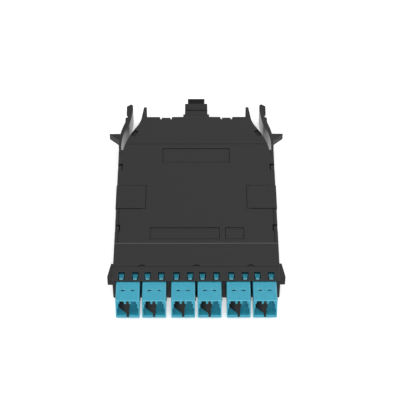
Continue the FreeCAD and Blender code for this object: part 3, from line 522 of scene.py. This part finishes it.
class CASSETTE_OT_adapters(bpy.types.Operator):
    """Dress the six duplex adapters"""

    bl_idname = "cassette.adapters"
    bl_label = "Duplex adapters"

    def execute(self, context):
        scene = context.scene
        colours = scene.cassette_colours
        lip_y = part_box("adapter_shell_1")[0][1]
        deep_y = lip_y + FADE_END
        plastic = moulded_plastic("adapter_aqua", colours.adapter)
        # edges paints a highlight on the adapters' rounded edges and top rim
        edges = moulded_plastic("adapter_aqua_edge", colours.adapter_edge_highlight)
        # Painted shade for the floor and the back of each latch window
        slot_shade = moulded_plastic("adapter_recess", colours.adapter)
        # Painted shade for the latch's sloping faces
        latch_shade = moulded_plastic("adapter_latch", colours.adapter)
        # Painted light: the channel tone grows paler with depth, from FADE_START to FADE_END behind the lip
        channel = moulded_plastic("adapter_channel", colours.adapter,
                                  fade=(colours.channel, lip_y + FADE_START, deep_y))
        for number in range(1, ADAPTER_COUNT + 1):
            node = "adapter_shell_%d" % number
            outer, head_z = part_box(node)[0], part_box(node)[1][2]
            back_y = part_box(node)[1][1] - LATCH_ROOT_BACK
            slot_z = head_z - WINDOW_DEPTH
            shell = refined(node, "aqua_adapter_%d" % number, scene.cassette_edges.adapter, plastic, edges,
                            line_y=back_y, hidden_y=back_y - LEVEL_ROOM)
            # Painted light on the faces inside each port channel
            inlay(shell, channel, lambda middle, normal: CHANNEL_WALL < middle.x - outer[0] < CHANNEL_SPAN
                  and outer[2] + CHANNEL_WALL < middle.z < head_z - CHANNEL_ROOF
                  and (abs(normal.y) < HALFWAY or middle.y > deep_y))
            # Painted shade: the floor of each latch window is darkened as if the frame shades it
            inlay(shell, slot_shade, lambda middle, normal: normal.z > FACING
                  and abs(middle.z - slot_z) < LEVEL_ROOM)
            # Painted shade: the faces behind the latch root, under the window's back edge, are darkened too
            inlay(shell, slot_shade, lambda middle, normal: (normal.z > FACING or normal.y < -FACING)
                  and middle.y > back_y - LEVEL_ROOM and middle.z > slot_z + LEVEL_ROOM)
            # Painted shade: the latch's sloping faces above the window floor are darker
            inlay(shell, latch_shade, lambda middle, normal: HALFWAY < normal.z < ALMOST_LEVEL
                  and middle.z > slot_z)
            # Painted highlight: the top faces at full height, the rim around the top panel, take the paler
            # edge aqua
            inlay(shell, edges, lambda middle, normal: normal.z > FACING
                  and abs(middle.z - head_z) < LEVEL_ROOM)
        return {"FINISHED"}


class CASSETTE_OT_shutters(bpy.types.Operator):
    """Dress the port dividers and the shutter leaves"""

    bl_idname = "cassette.shutters"
    bl_label = "Dividers and shutters"

    def execute(self, context):
        scene = context.scene
        colours = scene.cassette_colours
        post = moulded_plastic("divider_grey", colours.divider)
        leaf = moulded_plastic("leaf_dark", colours.leaf)
        for number in range(1, ADAPTER_COUNT + 1):
            divider = refined("port_divider_%d" % number, "divider_post_%d" % number,
                              scene.cassette_edges.small, post)
            for side in SIDES:
                flap = refined("shutter_%s_%d" % (side, number), "%s_leaf_%d" % (side, number),
                               scene.cassette_edges.small, leaf)
        return {"FINISHED"}


class CASSETTE_OT_rear_port(bpy.types.Operator):
    """Dress the multi-fibre adapter at the rear and its dust cap"""

    bl_idname = "cassette.rear_port"
    bl_label = "Rear port"

    def execute(self, context):
        scene = context.scene
        colours = scene.cassette_colours
        plastic = moulded_plastic("rear_adapter_black", colours.housing)
        rubber = moulded_plastic("cap_black", colours.cap)
        grip = moulded_plastic("cap_grip_black", colours.cap)
        body = refined("mpo_adapter", "rear_adapter_body", scene.cassette_edges.adapter, plastic)
        cap = refined("mpo_dust_cap", "rear_cap", scene.cassette_edges.cap, rubber)
        grip_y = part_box("mpo_dust_cap")[1][1] - CAP_GRIP_LENGTH
        inlay(cap, grip, lambda middle, normal: middle.y > grip_y)
        open_seam(cap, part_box("mpo_adapter")[1][1])
        return {"FINISHED"}


class CASSETTE_OT_harness(bpy.types.Operator):
    """Dress the sleeves, plugs, fibres and the fan-out inside"""

    bl_idname = "cassette.harness"
    bl_label = "Harness inside"

    def execute(self, context):
        colours = context.scene.cassette_colours
        dress(["alignment_sleeves", "inner_ferrules"], moulded_plastic("ceramic_white", colours.ceramic))
        dress(["inner_lc_plugs"], moulded_plastic("plug_beige", colours.plug))
        dress(["fibre_legs", "fibre_trunk"], moulded_plastic("jacket_aqua", colours.jacket))
        dress(["fan_out_block", "mpo_plug", "mpo_ferrule"], moulded_plastic("block_black", colours.housing))
        dress(["mpo_guide_pins"], ground_steel("pin_steel", colours.steel))
        return {"FINISHED"}


# Stage


def white_surroundings(level):
    """World that is white to the camera and in reflections, and lights the object at a plain level."""
    world = bpy.data.worlds.new("studio_world")
    bpy.context.scene.world = world
    recipe = Recipe(world)
    looked_at, mirrored, seen_through = (recipe.node("ShaderNodeLightPath", output=name) for name in
                                         ("Is Camera Ray", "Is Glossy Ray", "Is Transmission Ray"))
    light = recipe.node("ShaderNodeBackground", {}, {"Color": WHITE, "Strength": level})
    backdrop = recipe.node("ShaderNodeBackground", {}, {"Color": WHITE, "Strength": 1.0})
    mixed = recipe.node("ShaderNodeMixShader", {},
                        {0: looked_at.larger(mirrored).larger(seen_through), 1: light, 2: backdrop})
    recipe.node("ShaderNodeOutputWorld", {}, {"Surface": mixed})


def studio_floor(colour):
    """Wide pale floor that keeps the object's soft shadow and is white in reflections."""
    mesh = bpy.data.meshes.new("studio_floor")
    mesh.from_pydata([(-FLOOR_REACH, -FLOOR_REACH, 0), (FLOOR_REACH, -FLOOR_REACH, 0),
                      (FLOOR_REACH, FLOOR_REACH, 0), (-FLOOR_REACH, FLOOR_REACH, 0)], [], [(0, 1, 2, 3)])
    floor = bpy.data.objects.new("studio_floor", mesh)
    bpy.context.scene.collection.objects.link(floor)
    material = bpy.data.materials.new("floor_white")
    recipe = Recipe(material)
    looked_at, mirrored = (recipe.node("ShaderNodeLightPath", output=name) for name in
                           ("Is Camera Ray", "Is Glossy Ray"))
    matt = recipe.node("ShaderNodeBsdfDiffuse", {}, {"Color": colour})
    lift = recipe.node("ShaderNodeEmission", {}, {"Color": WHITE, "Strength": FLOOR_LIFT * looked_at})
    both = recipe.node("ShaderNodeAddShader", {}, {0: matt, 1: lift})
    white = recipe.node("ShaderNodeEmission", {}, {"Color": WHITE, "Strength": 1.0})
    mixed = recipe.node("ShaderNodeMixShader", {}, {0: mirrored, 1: both, 2: white})
    recipe.node("ShaderNodeOutputMaterial", {}, {"Surface": mixed})
    mesh.materials.append(material)


def aimed_at(point, place):
    """Rotation of a lamp or camera that stands at place and looks at point."""
    return (Vector(point) - Vector(place)).to_track_quat("-Z", "Y").to_euler()


def soft_lamp(name, power, aim, size, place, mirrored):
    """Square lamp. One that isn't mirrored lights the object without its own glare on it."""
    lamp = bpy.data.lights.new(name, "AREA")
    lamp.energy = power
    lamp.size = size
    held = bpy.data.objects.new(name, lamp)
    held.location = place
    held.rotation_euler = aimed_at(aim, place)
    held.visible_glossy = mirrored
    bpy.context.scene.collection.objects.link(held)


def studio_camera(stage):
    """Camera that stands and looks as the one of the photograph did."""
    lens = bpy.data.cameras.new("studio_camera")
    lens.lens = stage.lens
    lens.sensor_width = SENSOR_WIDTH
    lens.clip_start = CLIP_START
    camera = bpy.data.objects.new("studio_camera", lens)
    camera.location = stage.eye
    camera.rotation_euler = aimed_at(stage.aim, stage.eye)
    bpy.context.scene.collection.objects.link(camera)
    bpy.context.scene.camera = camera


class CASSETTE_OT_stage(bpy.types.Operator):
    """Set the floor, the surroundings, the lamps and the camera"""

    bl_idname = "cassette.stage"
    bl_label = "Stage"

    def execute(self, context):
        scene = context.scene
        stage = scene.cassette_stage
        scene.view_settings.view_transform = "Standard"
        white_surroundings(stage.sky)
        studio_floor(scene.cassette_colours.floor)
        for name, lamp in LAMPS.items():
            soft_lamp(name + "_lamp", getattr(stage, name), stage.aim, **lamp)
        studio_camera(stage)
        return {"FINISHED"}


class CASSETTE_PT_steps(bpy.types.Panel):
    """Steps that dress the cassette"""

    bl_label = "Fibre cassette"
    bl_idname = "CASSETTE_PT_steps"
    bl_space_type = "VIEW_3D"
    bl_region_type = "UI"
    bl_category = "Cassette"

    def draw(self, context):
        for step in STEPS:
            self.layout.operator(step.bl_idname)


STEPS = (
    CASSETTE_OT_housing,
    CASSETTE_OT_arms,
    CASSETTE_OT_adapters,
    CASSETTE_OT_shutters,
    CASSETTE_OT_rear_port,
    CASSETTE_OT_harness,
    CASSETTE_OT_stage,
)
SETTINGS = {
    "cassette_colours": CassetteColours,
    "cassette_edges": CassetteEdges,
    "cassette_stage": CassetteStage,
}


def register():
    for group in SETTINGS.values():
        bpy.utils.register_class(group)
    for step in STEPS:
        bpy.utils.register_class(step)
    bpy.utils.register_class(CASSETTE_PT_steps)
    for name, group in SETTINGS.items():
        setattr(bpy.types.Scene, name, bpy.props.PointerProperty(type=group))


def unregister():
    for name in SETTINGS:
        delattr(bpy.types.Scene, name)
    bpy.utils.unregister_class(CASSETTE_PT_steps)
    for step in reversed(STEPS):
        bpy.utils.unregister_class(step)
    for group in reversed(list(SETTINGS.values())):
        bpy.utils.unregister_class(group)


def main():
    register()
    bpy.ops.cassette.housing()
    bpy.ops.cassette.arms()
    bpy.ops.cassette.adapters()
    bpy.ops.cassette.shutters()
    bpy.ops.cassette.rear_port()
    bpy.ops.cassette.harness()
    bpy.ops.cassette.stage()


if __name__ == "__main__":
    main()
